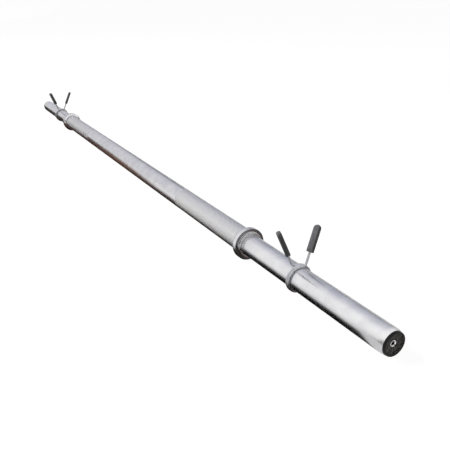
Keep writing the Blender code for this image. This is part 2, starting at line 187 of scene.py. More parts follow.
def eased(profile, reach, closed=True, steps=4):
    """Profile of (station, radius) points with its corners rounded over the given reach.

    A point is added just outside each rounding, so that flat faces stay flat in the
    shading. Both are held to a share of a short side. In an open profile the two end
    points are left alone.
    """
    corners = [Vector(point) for point in profile]
    count = len(corners)
    result = []
    for index, corner in enumerate(corners):
        if not closed and index in (0, count - 1):
            result.append(corner)
            continue
        ways = [corners[index - 1] - corner, corners[(index + 1) % count] - corner]
        taken = [min(reach, LONGEST_EASE * way.length) for way in ways]
        start, end = [corner + way.normalized() * t for way, t in zip(ways, taken)]
        supports = [min(SUPPORT, LONGEST_SUPPORT * way.length) for way in ways]
        result.append(start + ways[0].normalized() * supports[0])
        for step in range(steps + 1):
            t = step / steps
            result.append(start.lerp(corner, t).lerp(corner.lerp(end, t), t))
        result.append(end + ways[1].normalized() * supports[1])
    return [tuple(point) for point in result]


def loft(rings, closed=False):
    """Mesh data of a skin over rings of points. A ring of one point makes a pole."""
    points = [point for one in rings for point in one]
    starts = [sum(len(one) for one in rings[:i]) for i in range(len(rings))]
    pairs = [(i, i + 1) for i in range(len(rings) - 1)]
    if closed:
        pairs.append((len(rings) - 1, 0))
    faces = []
    for low, high in pairs:
        count = max(len(rings[low]), len(rings[high]))
        for i in range(count):
            j = (i + 1) % count
            if len(rings[low]) == 1:
                faces.append((starts[low], starts[high] + i, starts[high] + j))
            elif len(rings[high]) == 1:
                faces.append((starts[low] + j, starts[low] + i, starts[high]))
            else:
                faces.append(
                    (starts[low] + i, starts[high] + i, starts[high] + j, starts[low] + j)
                )
    return points, faces


def turned(profile, closed=True):
    """Mesh data of a part turned about the bar's axis from (station, radius) points."""
    return loft([ring(radius, station) for station, radius in profile], closed)


def new_object(name, data):
    """Object in the scene that holds a mesh, a lamp or a camera."""
    made = bpy.data.objects.new(name, data)
    bpy.context.scene.collection.objects.link(made)
    return made


def add_piece(name, shapes, material, side=1, crease=50.0):
    """Makes one closed piece of one or more shapes and places it on its end of the bar."""
    shape = bmesh.new()
    for points, faces in shapes:
        corners = [shape.verts.new(point) for point in points]
        for face in faces:
            shape.faces.new([corners[i] for i in face]).smooth = True
    bmesh.ops.remove_doubles(shape, verts=shape.verts, dist=WELD_DISTANCE)
    bmesh.ops.recalc_face_normals(shape, faces=shape.faces)
    turn = Matrix.Rotation(0.0 if side > 0 else math.pi, 4, "Z")
    shape.transform(Matrix.Translation((0.0, 0.0, AXIS_HEIGHT)) @ turn)
    mesh = bpy.data.meshes.new(name)
    shape.to_mesh(mesh)
    shape.free()
    mesh.set_sharp_from_angle(angle=math.radians(crease))
    mesh.materials.append(material)
    return new_object(name, mesh)


def new_tree(name, inputs):
    """Geometry Nodes tree with named inputs. Returns the tree and its input sockets."""
    tree = bpy.data.node_groups.new(name, "GeometryNodeTree")
    for label, kind in inputs.items():
        tree.interface.new_socket(label, in_out="INPUT", socket_type=kind)
    tree.interface.new_socket("Geometry", in_out="OUTPUT", socket_type="NodeSocketGeometry")
    return tree, tree.nodes.new("NodeGroupInput").outputs


def end_tree(tree, geometry, surface):
    """Ends a tree in Set Material and Realize Instances."""
    coated = add(tree, "GeometryNodeSetMaterial", {"Geometry": geometry, "Material": surface})
    real = add(tree, "GeometryNodeRealizeInstances", {"Geometry": coated})
    add(tree, "NodeGroupOutput", {"Geometry": real})


def grown(name, tree, sizes, source=None):
    """Runs a tree once with its sizes and keeps the result as a plain mesh object."""
    mesh = source or bpy.data.meshes.new(name)
    piece = new_object(name, mesh)
    modifier = piece.modifiers.new("grow", "NODES")
    modifier.node_group = tree
    for item in tree.interface.items_tree:
        if item.in_out == "INPUT" and item.name in sizes:
            modifier[item.identifier] = sizes[item.name]
    graph = bpy.context.evaluated_depsgraph_get()
    result = bpy.data.meshes.new_from_object(piece.evaluated_get(graph))
    piece.modifiers.clear()
    piece.data = result
    bpy.data.meshes.remove(mesh)
    return piece


def knurl_tree():
    """Zone of diamond knurl: a grid bent round the axis, with every second point raised.

    Real diamonds are about 1.5 mm wide. They are drawn more than twice as coarse so that
    they show.
    """
    tree, given = new_tree(
        "diamond_knurl",
        {
            "Start": "NodeSocketFloat",
            "Length": "NodeSocketFloat",
            "Radius": "NodeSocketFloat",
            "Groove depth": "NodeSocketFloat",
            "Diamonds around": "NodeSocketInt",
            "Diamonds along": "NodeSocketInt",
            "Axis height": "NodeSocketFloat",
            "Weld distance": "NodeSocketFloat",
            "Surface": "NodeSocketMaterial",
        },
    )
    steps = {
        way: add(tree, "ShaderNodeMath", {0: given["Diamonds " + way], 1: 2.0}, operation="MULTIPLY")
        for way in ("along", "around")
    }
    points = {
        way: add(tree, "ShaderNodeMath", {0: count, 1: 1.0}, operation="ADD")
        for way, count in steps.items()
    }
    grid = add(
        tree,
        "GeometryNodeMeshGrid",
        {
            "Size X": 1.0,
            "Size Y": 1.0,
            "Vertices X": points["along"],
            "Vertices Y": points["around"],
        },
    )
    position = add(tree, "GeometryNodeInputPosition")
    flat = add(tree, "ShaderNodeSeparateXYZ", {"Vector": position})
    # Shares of the way along and around, from 0 to 1, and the grid's rows that they fall on
    shares = {}
    rows = {}
    for way, axis in (("along", "X"), ("around", "Y")):
        shares[way] = add(tree, "ShaderNodeMath", {0: flat.outputs[axis], 1: 0.5}, operation="ADD")
        row = add(tree, "ShaderNodeMath", {0: shares[way], 1: steps[way]}, operation="MULTIPLY")
        rows[way] = add(tree, "ShaderNodeMath", {0: row}, operation="ROUND")
    both = add(tree, "ShaderNodeMath", {0: rows["along"], 1: rows["around"]}, operation="ADD")
    odd = add(tree, "ShaderNodeMath", {0: both, 1: 2.0}, operation="MODULO")
    # The zone's two end rows stay low, where they meet the plain parts
    from_middle = add(tree, "ShaderNodeMath", {0: flat.outputs["X"]}, operation="ABSOLUTE")
    inside = add(tree, "ShaderNodeMath", {0: from_middle, 1: 0.4999}, operation="LESS_THAN")
    crest = add(tree, "ShaderNodeMath", {0: odd, 1: inside}, operation="MULTIPLY")
    groove = add(tree, "ShaderNodeMath", {0: 1.0, 1: crest}, operation="SUBTRACT")
    fall = add(tree, "ShaderNodeMath", {0: groove, 1: given["Groove depth"]}, operation="MULTIPLY")
    radius = add(tree, "ShaderNodeMath", {0: given["Radius"], 1: fall}, operation="SUBTRACT")
    angle = add(tree, "ShaderNodeMath", {0: shares["around"], 1: 2.0 * math.pi}, operation="MULTIPLY")
    sine = add(tree, "ShaderNodeMath", {0: angle}, operation="SINE")
    cosine = add(tree, "ShaderNodeMath", {0: angle}, operation="COSINE")
    station = add(
        tree,
        "ShaderNodeMath",
        {0: shares["along"], 1: given["Length"], 2: given["Start"]},
        operation="MULTIPLY_ADD",
    )
    side = add(tree, "ShaderNodeMath", {0: radius, 1: sine}, operation="MULTIPLY")
    height = add(
        tree,
        "ShaderNodeMath",
        {0: radius, 1: cosine, 2: given["Axis height"]},
        operation="MULTIPLY_ADD",
    )
    bent = add(tree, "ShaderNodeCombineXYZ", {"X": station, "Y": side, "Z": height})
    marked = add(
        tree,
        "GeometryNodeStoreNamedAttribute",
        {"Geometry": grid, "Name": "crest", "Value": crest},
        data_type="FLOAT",
        domain="POINT",
    )
    wrapped = add(tree, "GeometryNodeSetPosition", {"Geometry": marked, "Position": bent})
    closed = add(
        tree,
        "GeometryNodeMergeByDistance",
        {"Geometry": wrapped, "Distance": given["Weld distance"]},
    )
    # The shorter diagonal of each quad runs between two groove points, which folds it
    # along the edge of a diamond
    folded = add(tree, "GeometryNodeTriangulate", {"Mesh": closed}, quad_method="SHORTEST_DIAGONAL")
    end_tree(tree, folded, given["Surface"])
    return tree


def plain_part_of_grip():
    """Smooth middle, and the two plain ends with the bore between them."""
    low = GRIP_RADIUS - KNURL_DEPTH
    middle = [
        (KNURL_INNER_END, low),
        (KNURL_INNER_END - KNURL_STEP, GRIP_RADIUS),
        (-KNURL_INNER_END + KNURL_STEP, GRIP_RADIUS),
        (-KNURL_INNER_END, low),
    ]
    ends = [
        (KNURL_OUTER_END, low),
        (KNURL_OUTER_END + KNURL_STEP, GRIP_RADIUS),
        (GRIP_END, GRIP_RADIUS),
        (GRIP_END, GRIP_BORE),
        (-GRIP_END, GRIP_BORE),
        (-GRIP_END, GRIP_RADIUS),
        (-KNURL_OUTER_END - KNURL_STEP, GRIP_RADIUS),
        (-KNURL_OUTER_END, low),
    ]
    return [
        turned(eased(middle, GRIP_EDGE, closed=False), closed=False),
        turned(eased(ends, GRIP_EDGE, closed=False), closed=False),
    ]


def joined(name, parts):
    """Joins objects into one closed mesh, with a material slot for each finish."""
    materials = []
    shape = bmesh.new()
    crest = shape.verts.layers.float.new("crest")
    for part in parts:
        first_face = len(shape.faces)
        shape.from_mesh(part.data)
        shape.faces.ensure_lookup_table()
        # A grown mesh may keep an empty slot in front of the one that its faces use
        materials.append(part.data.materials[part.data.polygons[0].material_index])
        for face in shape.faces[first_face:]:
            face.material_index = len(set(materials)) - 1
        bpy.data.objects.remove(part)
    bmesh.ops.remove_doubles(shape, verts=shape.verts, dist=WELD_DISTANCE)
    bmesh.ops.recalc_face_normals(shape, faces=shape.faces)
    mesh = bpy.data.meshes.new(name)
    shape.to_mesh(mesh)
    shape.free()
    for material in dict.fromkeys(materials):
        mesh.materials.append(material)
    return new_object(name, mesh)


CHROME = ground_chrome("hard_chrome_ground", 0.25, 0.31)
KNURLED = knurled_chrome()
KNURL = knurl_tree()

plain_grip = add_piece("grip_plain", plain_part_of_grip(), CHROME)
grip_parts = [plain_grip]
zone_length = KNURL_OUTER_END - KNURL_INNER_END
for side_name, side in SIDES.items():
    zone = grown(
        "knurl_" + side_name,
        KNURL,
        {
            "Start": KNURL_INNER_END if side > 0 else -KNURL_OUTER_END,
            "Length": zone_length,
            "Radius": GRIP_RADIUS,
            "Groove depth": KNURL_DEPTH,
            "Diamonds around": DIAMONDS_AROUND,
            "Diamonds along": round(zone_length / DIAMOND_LENGTH),
            "Axis height": AXIS_HEIGHT,
            "Weld distance": WELD_DISTANCE,
            "Surface": KNURLED,
        },
    )
    grip_parts.append(zone)
grip = joined("grip_tube_knurled", grip_parts)
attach(grip, "bar")
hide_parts("grip_tube")


# Spindles. Bare turned steel, plugged and welded into the grip tube, one for each sleeve.
# They stay as the CAD made them and get a turned steel finish with its rings of tool marks.

def turned_steel(name, pale, dark, roughness):
    """Steel left as the lathe cut it: fine rings round the axis and a faint stain."""
    material, tree = new_material(name)
    place = add(tree, "ShaderNodeTexCoord").outputs["Object"]
    # A lathe leaves a ring at each 0.3 mm of feed
    across_rings = (per_metre(0.3), per_metre(33.0), per_metre(33.0))
    stretched = add(tree, "ShaderNodeMapping", {"Vector": place, "Scale": across_rings})
    rings = add(tree, "ShaderNodeTexNoise", {"Vector": stretched, "Scale": 1.0, "Detail": 2.0})
    tint = add(tree, "ShaderNodeValToRGB", {"Fac": rings}, stops={0.3: dark, 0.7: pale})
    bump = add(tree, "ShaderNodeBump", {"Height": rings, "Strength": 0.25, "Distance": 0.0001})
    end_material(tree, {"Base Color": tint, "Normal": bump, "Metallic": 1.0, "Roughness": roughness})
    return material


def finish_node(node, material):
    """Gives a CAD node its finish and leaves its mesh as it is."""
    for material_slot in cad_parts[node].material_slots:
        material_slot.material = material


BARE_STEEL = turned_steel("bare_steel_turned", "C4C4C6", "98989C", 0.36)
for side_name in SIDES:
    finish_node("spindle_" + side_name, BARE_STEEL)


# Thrust washers and bushings. Bronze pressed from powder and soaked in oil, which leaves a
# dull brown gold full of small dark pores. The bushings are pressed into the sleeve, and the
# washers lie between the spindle's shoulder and the sleeve's end.

def sintered_bronze():
    """Oiled bronze: dull brown gold with dark pores."""
    material, tree = new_material("sintered_bronze_oiled")
    place = add(tree, "ShaderNodeTexCoord").outputs["Object"]
    # Pores are about 0.4 mm apart
    pores = add(
        tree,
        "ShaderNodeTexVoronoi",
        {"Vector": place, "Scale": per_metre(0.4)},
        feature="F1",
    )
    tint = add(tree, "ShaderNodeValToRGB", {"Fac": pores}, stops={0.12: "4A3419", 0.3: "B58B4E"})
    bump = add(tree, "ShaderNodeBump", {"Height": pores, "Strength": 0.3, "Distance": 0.0001})
    end_material(tree, {"Base Color": tint, "Normal": bump, "Metallic": 1.0, "Roughness": 0.45})
    return material


BRONZE = sintered_bronze()
for side_name in SIDES:
    for node in ("thrust_washer_", "inner_bushing_", "outer_bushing_"):
        finish_node(node + side_name, BRONZE)


# Sleeve tubes. Chromed steel tubes that turn on the bushings and carry the plates. The
# mouth curves in to a thin bright lip, where the bore is opened out for the end cap.

SLEEVE_RADIUS = 0.025
SLEEVE_BORE = 0.0203
SLEEVE_END = 1.2155
SLEEVE_START = 0.758
SLEEVE_EDGE = 0.0006
MOUTH_BORE = 0.0233
MOUTH_FLOOR = 1.205
MOUTH_CURVE_DEPTH = 0.0012
MOUTH_CURVE_LENGTH = 0.014
MOUTH_CURVE_STEPS = 12

sleeve_corners = eased(
    [
        (SLEEVE_END - MOUTH_CURVE_LENGTH, SLEEVE_RADIUS),
        (SLEEVE_START, SLEEVE_RADIUS),
        (SLEEVE_START, SLEEVE_BORE),
        (MOUTH_FLOOR, SLEEVE_BORE),
        (MOUTH_FLOOR, MOUTH_BORE),
        (SLEEVE_END, MOUTH_BORE),
    ],
    SLEEVE_EDGE,
    closed=False,
)
mouth_curve = []
for step in range(MOUTH_CURVE_STEPS, 0, -1):
    share = step / MOUTH_CURVE_STEPS
    station = SLEEVE_END - MOUTH_CURVE_LENGTH * (1.0 - share)
    mouth_curve.append((station, SLEEVE_RADIUS - MOUTH_CURVE_DEPTH * share * share))
for side_name, side in SIDES.items():
    sleeve = add_piece("sleeve_" + side_name, [turned(sleeve_corners + mouth_curve)], CHROME, side)
    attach(sleeve, "sleeve_" + side_name)
    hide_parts("sleeve_tube_" + side_name)


# Collars. Rings turned from solid steel, chromed and welded on the sleeves: a wide rim that
# stops the plates, a hub step on the plate side and a cone on the grip side.

COLLAR_RADIUS = AXIS_HEIGHT
COLLAR_BORE = 0.0253
COLLAR_EDGE = 0.0009
RIM_FACE = 0.768
RIM_BACK = 0.756
HUB_RADIUS = 0.030
HUB_FACE = 0.773
BOSS_ROOT_RADIUS = 0.036
BOSS_FACE_RADIUS = 0.031
BOSS_FACE = 0.750
RUBBED_DEPTH = 0.0006
RUBBED_EDGE = 0.0004


def distance_from_axis(tree, place):
    """How far a point is from the bar's axis."""
    parts = add(tree, "ShaderNodeSeparateXYZ", {"Vector": place})
    level = add(tree, "ShaderNodeMath", {0: parts.outputs["Z"], 1: AXIS_HEIGHT}, operation="SUBTRACT")
    across = add(tree, "ShaderNodeCombineXYZ", {"Y": parts.outputs["Y"], "Z": level})
    return add(tree, "ShaderNodeVectorMath", {0: across}, operation="LENGTH")


def collar_chrome():
    """Chrome as turned, with the face that stops the plates rubbed dull and grey."""
    material = ground_chrome("hard_chrome_as_turned", 0.22, 0.30)
    tree = material.node_tree
    surface = tree.nodes["Principled BSDF"].inputs["Base Color"]
    place = tree.nodes["Texture Coordinate"].outputs["Object"]
    station = add(tree, "ShaderNodeSeparateXYZ", {"Vector": place}).outputs["X"]
    outward = add(tree, "ShaderNodeMath", {0: station}, operation="ABSOLUTE")
    # Plates rub the rim's flat face, up to its rounded edges
    near_face = add(
        tree,
        "ShaderNodeMapRange",
        {0: outward, 1: RIM_FACE - RUBBED_DEPTH, 2: RIM_FACE - RUBBED_DEPTH + RUBBED_EDGE},
    )
    past_hub = add(
        tree,
        "ShaderNodeMapRange",
        {
            0: distance_from_axis(tree, place),
            1: HUB_RADIUS + RUBBED_EDGE,
            2: HUB_RADIUS + 3 * RUBBED_EDGE,
        },
    )
    rubbed = add(tree, "ShaderNodeMath", {0: near_face, 1: past_hub}, operation="MULTIPLY")
    # Inputs 6 and 7 of a mix are its two colours
    tint = add(
        tree,
        "ShaderNodeMix",
        {"Factor": rubbed, 6: surface.links[0].from_socket, 7: srgb("9A989C")},
        data_type="RGBA",
    )
    tree.links.new(tint.outputs[2], surface)
    return material


COLLAR_CHROME = collar_chrome()
collar_profile = [
    (HUB_FACE, HUB_RADIUS),
    (RIM_FACE, HUB_RADIUS),
    (RIM_FACE, COLLAR_RADIUS),
    (RIM_BACK, COLLAR_RADIUS),
    (RIM_BACK, BOSS_ROOT_RADIUS),
    (BOSS_FACE, BOSS_FACE_RADIUS),
    (BOSS_FACE, COLLAR_BORE),
    (HUB_FACE, COLLAR_BORE),
]
for side_name, side in SIDES.items():
    shapes = [turned(eased(collar_profile, COLLAR_EDGE))]
    collar = add_piece("stop_collar_" + side_name, shapes, COLLAR_CHROME, side)
    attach(collar, "sleeve_" + side_name)
    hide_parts("collar_" + side_name)


# Retaining and spring washers. Zinc-plated steel, held on the spindle's tip by the end
# screw. Zinc is duller than chrome, with a faint patchy bloom.

# The bloom lies in patches of 1.4 mm
ZINC = clouded_metal("zinc_plated_steel", 1.4, 3.0, "C6C8CE", "E2E3E6", 0.22, 0.34)
for side_name in SIDES:
    for node in ("retaining_washer_", "spring_washer_"):
        finish_node(node + side_name, ZINC)


# End screws. A zinc-plated M8 button head screw threaded into each spindle's tip. Only its
# domed head shows, sunk in the hole of the end cap, with a forged hexagon socket in it that
# is painted dark as shade.

HEAD_RADIUS = 0.007
HEAD_FLAT_RADIUS = 0.0058
HEAD_FACE = 1.2163
HEAD_SEAT = 1.2119
HEAD_EDGE = 0.0006
SHANK_RADIUS = 0.004
SHANK_LENGTH = 0.025
HEX_WIDTH = 0.007
HEX_DEPTH = 0.0034
SOCKET_TIP_DEPTH = 1.2 * HEX_DEPTH
SOCKET_MOUTH_DEPTH = 0.0016
SOCKET_MOUTH_RADIUS = 0.0056
HEAD_FACETS = 72
DOME_STEPS = 12
# Inside these radii the socket is painted dark as shade, with a ragged edge
SOCKET_SHADE_RADIUS = 0.0039
SOCKET_LIT_RADIUS = 0.0044
SOCKET_SHADE_RAGGEDNESS = 0.0006


def screw_zinc():
    """Bright zinc plate outside, and the socket painted dark as shade."""
    material, tree = new_material("zinc_plate_shaded_socket")
    place = add(tree, "ShaderNodeTexCoord").outputs["Object"]
    # The painted shade ends in a ragged edge, with dents of about 1 mm
    bloom = add(
        tree, "ShaderNodeTexNoise", {"Vector": place, "Scale": per_metre(1.11), "Detail": 3.0}
    )
    ragged = add(
        tree,
        "ShaderNodeMath",
        {0: bloom, 1: SOCKET_SHADE_RAGGEDNESS, 2: distance_from_axis(tree, place)},
        operation="MULTIPLY_ADD",
    )
    out_of_shade = add(tree, "ShaderNodeMapRange", {0: ragged, 1: SOCKET_SHADE_RADIUS, 2: SOCKET_LIT_RADIUS})
    tint = add(tree, "ShaderNodeValToRGB", {"Fac": out_of_shade}, stops={0.0: "1A1817", 1.0: "E6E6EA"})
    rough = add(tree, "ShaderNodeMapRange", {0: out_of_shade, 1: 0.0, 2: 1.0, 3: 0.6, 4: 0.24})
    end_material(tree, {"Base Color": tint, "Roughness": rough, "Metallic": 1.0})
    return material


def hexagon(width, station, count=HEAD_FACETS):
    """Points round a hexagon, as many as round the head so that the two can be joined."""
    points = []
    for i in range(count):
        angle = 2.0 * math.pi * i / count
        from_flat = (angle + math.pi / 6) % (math.pi / 3) - math.pi / 6
        points.append(round_axis(width / 2 / math.cos(from_flat), angle, station))
    return points


def screw_shape():
    """Socket, domed head and shank, from the socket's floor out to the shank's tip."""
    dome = []
    for step in range(DOME_STEPS + 1):
        angle = math.radians(90.0) * step / DOME_STEPS
        fall = (HEAD_FACE - HEAD_SEAT - HEAD_EDGE) * (1.0 - math.cos(angle))
        radius = HEAD_FLAT_RADIUS + (HEAD_RADIUS - HEAD_FLAT_RADIUS) * math.sin(angle)
        dome.append((HEAD_FACE - fall, radius))
    underside = [
        (HEAD_SEAT + HEAD_EDGE / 2, HEAD_RADIUS),
        (HEAD_SEAT, HEAD_RADIUS),
        (HEAD_SEAT, SHANK_RADIUS),
        (HEAD_SEAT - SHANK_LENGTH, SHANK_RADIUS),
        (HEAD_SEAT - SHANK_LENGTH, 0.0),
    ]
    rings = [
        ring(0.0, HEAD_FACE - SOCKET_TIP_DEPTH),
        hexagon(HEX_WIDTH, HEAD_FACE - HEX_DEPTH),
        hexagon(HEX_WIDTH, HEAD_FACE - SOCKET_MOUTH_DEPTH),
        ring(SOCKET_MOUTH_RADIUS, HEAD_FACE, HEAD_FACETS),
    ]
    for station, radius in dome + eased(underside, HEAD_EDGE / 2, closed=False):
        rings.append(ring(radius, station, HEAD_FACETS))
    return loft(rings)


SCREW_ZINC = screw_zinc()
for side_name, side in SIDES.items():
    name = "button_screw_" + side_name
    screw = add_piece(name, [screw_shape()], SCREW_ZINC, side, crease=30.0)
    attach(screw, "bar")
    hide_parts("end_screw_" + side_name)


# End caps. Moulded black plastic, pressed into the sleeve's mouth. The face is dished
# inside a raised bead, with a rounded edge that is painted darker as shade, and a hole for
# the screw head.

CAP_FACE = 1.220
CAP_RADIUS = 0.0230
CAP_BACK = 1.2096
CAP_HOLE_RADIUS = 0.0077
CAP_EDGE = 0.0012
CAP_BEAD_WIDTH = 0.0016
CAP_DISH_DEPTH = 0.003
CAP_ROUNDING = 0.0008
CAP_EDGE_STEPS = 8
# The edge is painted darker as shade, from the first radius out to the second
RIM_SHADE_FROM = 0.0185
RIM_SHADE_FULL = 0.0205


def moulded_plastic():
    """Black polypropylene with a fine sparked grain, scuffed grey in patches, and its edge painted darker
    as shade.
    """
    material, tree = new_material("moulded_black_plastic")
    place = add(tree, "ShaderNodeTexCoord").outputs["Object"]
    # The mould's grain is 0.3 mm, drawn at 1.25 mm so that it shows
    grain = add(
        tree, "ShaderNodeTexNoise", {"Vector": place, "Scale": per_metre(1.25), "Detail": 3.0}
    )
    # Scuffs are about 4 mm wide
    scuffs = add(
        tree,
        "ShaderNodeTexNoise",
        {"Vector": place, "Scale": per_metre(4.35), "Detail": 6.0, "Roughness": 0.7},
    )
    scuffed = add(
        tree,
        "ShaderNodeValToRGB",
        {"Fac": scuffs},
        stops={0.42: "161211", 0.50: "393431", 0.58: "7C7C77"},
    )
    # Round the edge the scuffs give way to near black, painted as shade on the rounded edge
    rim_shade = add(
        tree,
        "ShaderNodeMapRange",
        {0: distance_from_axis(tree, place), 1: RIM_SHADE_FROM, 2: RIM_SHADE_FULL},
    )
    tint = add(
        tree,
        "ShaderNodeMix",
        {"Factor": rim_shade, 6: scuffed, 7: srgb("0B0A0A")},
        data_type="RGBA",
    )
    rough = add(tree, "ShaderNodeMapRange", {0: scuffs, 1: 0.35, 2: 0.7, 3: 0.4, 4: 0.6})
    bump = add(tree, "ShaderNodeBump", {"Height": grain, "Strength": 0.35, "Distance": 0.0003})
    end_material(
        tree,
        {"Base Color": tint, "Roughness": rough, "Normal": bump, "IOR": 1.49, "Specular IOR Level": 0.25},
    )
    return material


def cap_shape():
    """Turned from the hole's back over the dish, the bead and the rounded edge."""
    dish = CAP_FACE - CAP_DISH_DEPTH
    bead_outer = CAP_RADIUS - CAP_EDGE
    bead_inner = bead_outer - CAP_BEAD_WIDTH
    profile = eased(
        [
            (CAP_BACK, CAP_HOLE_RADIUS),
            (dish, CAP_HOLE_RADIUS),
            (dish, bead_inner - CAP_DISH_DEPTH),
            (CAP_FACE, bead_inner),
            (CAP_FACE, bead_outer),
        ],
        CAP_ROUNDING,
        closed=False,
    )
    for step in range(1, CAP_EDGE_STEPS + 1):
        angle = math.radians(90.0) * step / CAP_EDGE_STEPS
        station = CAP_FACE - CAP_EDGE * (1.0 - math.cos(angle))
        profile.append((station, bead_outer + CAP_EDGE * math.sin(angle)))
    profile.append((CAP_BACK, CAP_RADIUS))
    return turned(profile)


BLACK_PLASTIC = moulded_plastic()
for side_name, side in SIDES.items():
    cap = add_piece("cap_" + side_name, [cap_shape()], BLACK_PLASTIC, side)
    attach(cap, "sleeve_" + side_name)
    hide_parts("end_cap_" + side_name)


# Spring clips. One plated spring wire, wound twice round the sleeve, with its ends bent
# straight out as two crossing handles. The turns are drawn as two halves that meet in the
# middle of the coil, one for each handle.

WIRE_RADIUS = 0.0025
COIL_RADIUS = 0.0278
COIL_PITCH = 0.0053
CLIP_PLACE = {"right": 0.956, "left": 0.944}
WHOLE_TURNS = 2
HANDLES = {"outer": 1, "inner": -1}
HANDLE_ANGLES = {"outer": math.radians(22.7), "inner": math.radians(-23.1)}
HANDLE_TILT = math.radians(5.8)
HANDLE_REACH = 0.115
BEND_RADIUS = 0.007
BEND_ANGLE = math.asin(BEND_RADIUS / (COIL_RADIUS + BEND_RADIUS))
CLIP_GRIP_TIP_WALL = 0.006
TURN_STEPS = 96
BEND_STEPS = 14
WIRE_FACETS = 28


def coil_points():
    """Centre line of the turns, from the inner handle's bend to the outer one's."""
    start = HANDLE_ANGLES["inner"] + BEND_ANGLE
    stop = HANDLE_ANGLES["outer"] - BEND_ANGLE + 2.0 * math.pi * WHOLE_TURNS
    steps = 2 * round(TURN_STEPS * (stop - start) / (4.0 * math.pi))
    middle = (start + stop) / 2
    angles = [start + (stop - start) * step / steps for step in range(steps + 1)]
    return [
        round_axis(COIL_RADIUS, angle, COIL_PITCH * (angle - middle) / (2.0 * math.pi))
        for angle in angles
    ]


def tilted(handle, radius, angle):
    """Point of a handle, which tilts towards the bar's middle as its radius grows."""
    half_width = coil_points()[-1].x
    station = handle * half_width - (radius - COIL_RADIUS) * math.tan(HANDLE_TILT)
    return round_axis(radius, angle, station)


def handle_points(place, handle, reach):
    """Centre line of one handle: a bend off the coil, then straight out to the reach."""
    leg_angle = HANDLE_ANGLES[place]
    root_angle = leg_angle - handle * BEND_ANGLE
    last = math.radians(90.0) - BEND_ANGLE
    centre_height = COIL_RADIUS + BEND_RADIUS
    points = []
    for step in range(1, BEND_STEPS + 1):
        angle = last * step / BEND_STEPS
        across = handle * BEND_RADIUS * math.sin(angle)
        height = centre_height - BEND_RADIUS * math.cos(angle)
        turn = root_angle + math.atan2(across, height)
        points.append(tilted(handle, math.hypot(across, height), turn))
    points.append(tilted(handle, reach, leg_angle))
    return points


def half_coil_points(handle):
    """From the middle of the coil to the foot of one handle."""
    coil = coil_points()
    return coil[len(coil) // 2:] if handle > 0 else coil[len(coil) // 2::-1]


def wire_tree():
    """Round wire along a line of points."""
    tree, given = new_tree(
        "bent_wire",
        {
            "Path": "NodeSocketGeometry",
            "Wire radius": "NodeSocketFloat",
            "Facets": "NodeSocketInt",
            "Surface": "NodeSocketMaterial",
        },
    )
    path = add(tree, "GeometryNodeMeshToCurve", {"Mesh": given["Path"]})
    section = add(
        tree,
        "GeometryNodeCurvePrimitiveCircle",
        {"Resolution": given["Facets"], "Radius": given["Wire radius"]},
    )
    swept = add(
        tree,
        "GeometryNodeCurveToMesh",
        {"Curve": path, "Profile Curve": section, "Fill Caps": True},
    )
    smooth = add(tree, "GeometryNodeSetShadeSmooth", {"Geometry": swept, "Shade Smooth": True})
    end_tree(tree, smooth, given["Surface"])
    return tree


def on_clip(point, side_name, side):
    """Place in the whole bar of a point measured from a clip's own centre."""
    station = side * (CLIP_PLACE[side_name] + point.x)
    return Vector((station, side * point.y, AXIS_HEIGHT + point.z))


# Drawn through a die and plated: bright, with duller patches of about 4 mm
SPRING_WIRE = clouded_metal("plated_spring_wire", 3.85, 4.0, "C9CACF", "DFE0E3", 0.38, 0.46)
WIRE = wire_tree()


def bent_wire(name, clip_points, side_name, side):
    """Wire along points measured from the clip's centre."""
    points = [on_clip(point, side_name, side) for point in clip_points]
    line = bpy.data.meshes.new("clip_wire_line")
    line.from_pydata(points, [(i, i + 1) for i in range(len(points) - 1)], [])
    sizes = {"Wire radius": WIRE_RADIUS, "Facets": WIRE_FACETS, "Surface": SPRING_WIRE}
    wire = grown(name, WIRE, sizes, line)
    wire.data.set_sharp_from_angle(angle=math.radians(60.0))
    return wire


for side_name, side in SIDES.items():
    for place, handle in HANDLES.items():
        half = half_coil_points(handle)
        lever = place + "_lever_" + side_name
        turn = bent_wire("clip_turn_" + place + "_" + side_name, half, side_name, side)
        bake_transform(turn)
        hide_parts("clip_coil_" + side_name)
        leg = [half[-1]] + handle_points(place, handle, HANDLE_REACH - CLIP_GRIP_TIP_WALL)
        arm = bent_wire("clip_arm_" + place + "_" + side_name, leg, side_name, side)
        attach(arm, lever)
        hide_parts("clip_" + place + "_handle_" + side_name)


# Clip grips. Flat tongues of dark grey soft vinyl, moulded and pushed over the ends of the
# wire: square-cut at the base, rounded at the tip and along their edges.

CLIP_GRIP_LENGTH = 0.057
CLIP_GRIP_WIDTH = 0.0148
CLIP_GRIP_THICKNESS = 0.010
CLIP_GRIP_ROUNDING = 0.003
CLIP_GRIP_TURN = math.radians(20.0)
CLIP_GRIP_BORE = 0.0028
CLIP_GRIP_EDGE = 0.0005
SECTION_POINTS = 48
TIP_STEPS = 16
TIP_FULLNESS = 0.6


def soft_vinyl():
    """Dark grey vinyl with a fine leathery grain, dull and a little dusty."""
    material, tree = new_material("soft_vinyl_grained")
    place = add(tree, "ShaderNodeTexCoord").outputs["Object"]
    # The grain is 0.5 mm, drawn at 1 mm so that it shows
    grain = add(
        tree,
        "ShaderNodeTexVoronoi",
        {"Vector": place, "Scale": per_metre(1.0)},
        feature="F1",
    )
    # Dust lies in patches of about 8 mm
    dust = add(tree, "ShaderNodeTexNoise", {"Vector": place, "Scale": per_metre(8.33), "Detail": 5.0})
    tint = add(tree, "ShaderNodeValToRGB", {"Fac": dust}, stops={0.35: "68686A", 0.68: "7A7A7C"})
    bump = add(tree, "ShaderNodeBump", {"Height": grain, "Strength": 0.25, "Distance": 0.0002})
    end_material(
        tree,
        {"Base Color": tint, "Normal": bump, "Roughness": 0.7, "IOR": 1.53, "Specular IOR Level": 0.3},
    )
    return material


